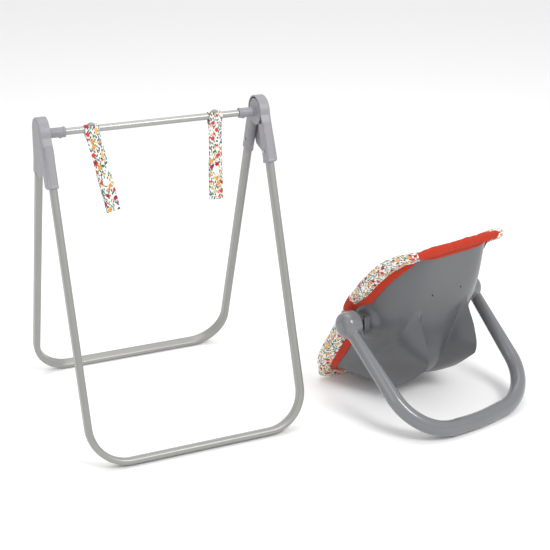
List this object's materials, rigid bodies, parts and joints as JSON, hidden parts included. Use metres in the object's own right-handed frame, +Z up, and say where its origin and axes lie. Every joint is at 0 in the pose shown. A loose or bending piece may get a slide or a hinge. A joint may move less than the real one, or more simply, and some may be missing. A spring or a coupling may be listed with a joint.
{
  "type": "doll swing set",
  "caption": "Folding A-frame toy swing with snap loops on its crossbar and a moulded carrier seat with a padded fabric cover and swinging handle.",
  "frame": {"origin": "on the floor at the centre of the stand, below the middle of the crossbar", "axes": "+X along the crossbar to the right, towards the carrier; +Y to the rear frame; +Z up"},
  "size_m": [0.8411, 0.5751, 0.5666],
  "materials": {
    "leg_paint": "satin silver-grey paint on flat-oval steel tube",
    "bar_metal": "satin light grey paint on round tube",
    "hub_plastic": "fine satin moulded plastic, light lavender grey",
    "steel": "zinc-plated screws and pins",
    "flower_fabric": "white cotton print with small red, orange and yellow flowers and green leaves",
    "rivet_plastic": "smooth grey domed cap",
    "snap_plastic": "white plastic snap",
    "shell_plastic": "satin-gloss mid-grey moulded plastic",
    "handle_plastic": "glossy mid-grey moulded plastic",
    "red_fabric": "plain orange-red woven cotton"
  },
  "bodies": {
    "rear_frame": {"rear_leg_tube": "leg_paint", "crossbar": "bar_metal", "rear_hub_left": "hub_plastic", "rear_hub_right": "hub_plastic", "hinge_pin_left": "steel", "hinge_pin_right": "steel", "rear_leg_screws": "steel", "crossbar_screws": "steel", "strap_collar_left": "flower_fabric", "strap_collar_right": "flower_fabric", "strap_rivet_left": "rivet_plastic", "strap_rivet_right": "rivet_plastic"},
    "front_frame": {"front_leg_tube": "leg_paint", "front_hub_left": "hub_plastic", "front_hub_right": "hub_plastic", "front_leg_screws": "steel"},
    "strap_left": {"strap_left": "flower_fabric", "snap_cap_left": "snap_plastic"},
    "strap_right": {"strap_right": "flower_fabric", "snap_cap_right": "snap_plastic"},
    "flap_left": {"strap_flap_left": "flower_fabric", "snap_stud_left": "snap_plastic"},
    "flap_right": {"strap_flap_right": "flower_fabric", "snap_stud_right": "snap_plastic"},
    "carrier": {"seat_shell": "shell_plastic", "pivot_lug_left": "shell_plastic", "pivot_lug_right": "shell_plastic", "pivot_pin_left": "steel", "pivot_pin_right": "steel", "seat_pad": "red_fabric", "cover_band": "flower_fabric", "head_trim": "red_fabric", "cover_skirt": "red_fabric"},
    "handle": {"handle_bow": "handle_plastic", "handle_hub_left": "handle_plastic", "handle_hub_right": "handle_plastic"}
  },
  "joints": [
    {"name": "frame_fold", "type": "hinge", "parent": "rear_frame", "child": "front_frame", "pos_m": [0, 0, 0.53765], "axis": [1, 0, 0], "range_deg": [0, 38]},
    {"name": "strap_left_swing", "type": "hinge", "parent": "rear_frame", "child": "strap_left", "pos_m": [-0.112, 0, 0.53765], "axis": [1, 0, 0], "range_deg": [-60, 60]},
    {"name": "strap_right_swing", "type": "hinge", "parent": "rear_frame", "child": "strap_right", "pos_m": [0.112, 0, 0.53765], "axis": [1, 0, 0], "range_deg": [-60, 60]},
    {"name": "flap_left_open", "type": "hinge", "parent": "strap_left", "child": "flap_left", "pos_m": [-0.08046, 0.003, 0.38926], "axis": [-0.9781, 0, -0.2079], "range_deg": [0, 160]},
    {"name": "flap_right_open", "type": "hinge", "parent": "strap_right", "child": "flap_right", "pos_m": [0.112, 0.003, 0.38595], "axis": [-1, 0, 0], "range_deg": [0, 160]},
    {"name": "carrier_lift", "type": "slide", "parent": "rear_frame", "child": "carrier", "axis": [0, 0, 1], "range_m": [0, 0.3]},
    {"name": "handle_swing", "type": "hinge", "parent": "carrier", "child": "handle", "pos_m": [0.447, -0.138, 0.17], "axis": [-0.9744, -0.225, 0], "range_deg": [0, 180]}
  ]
}
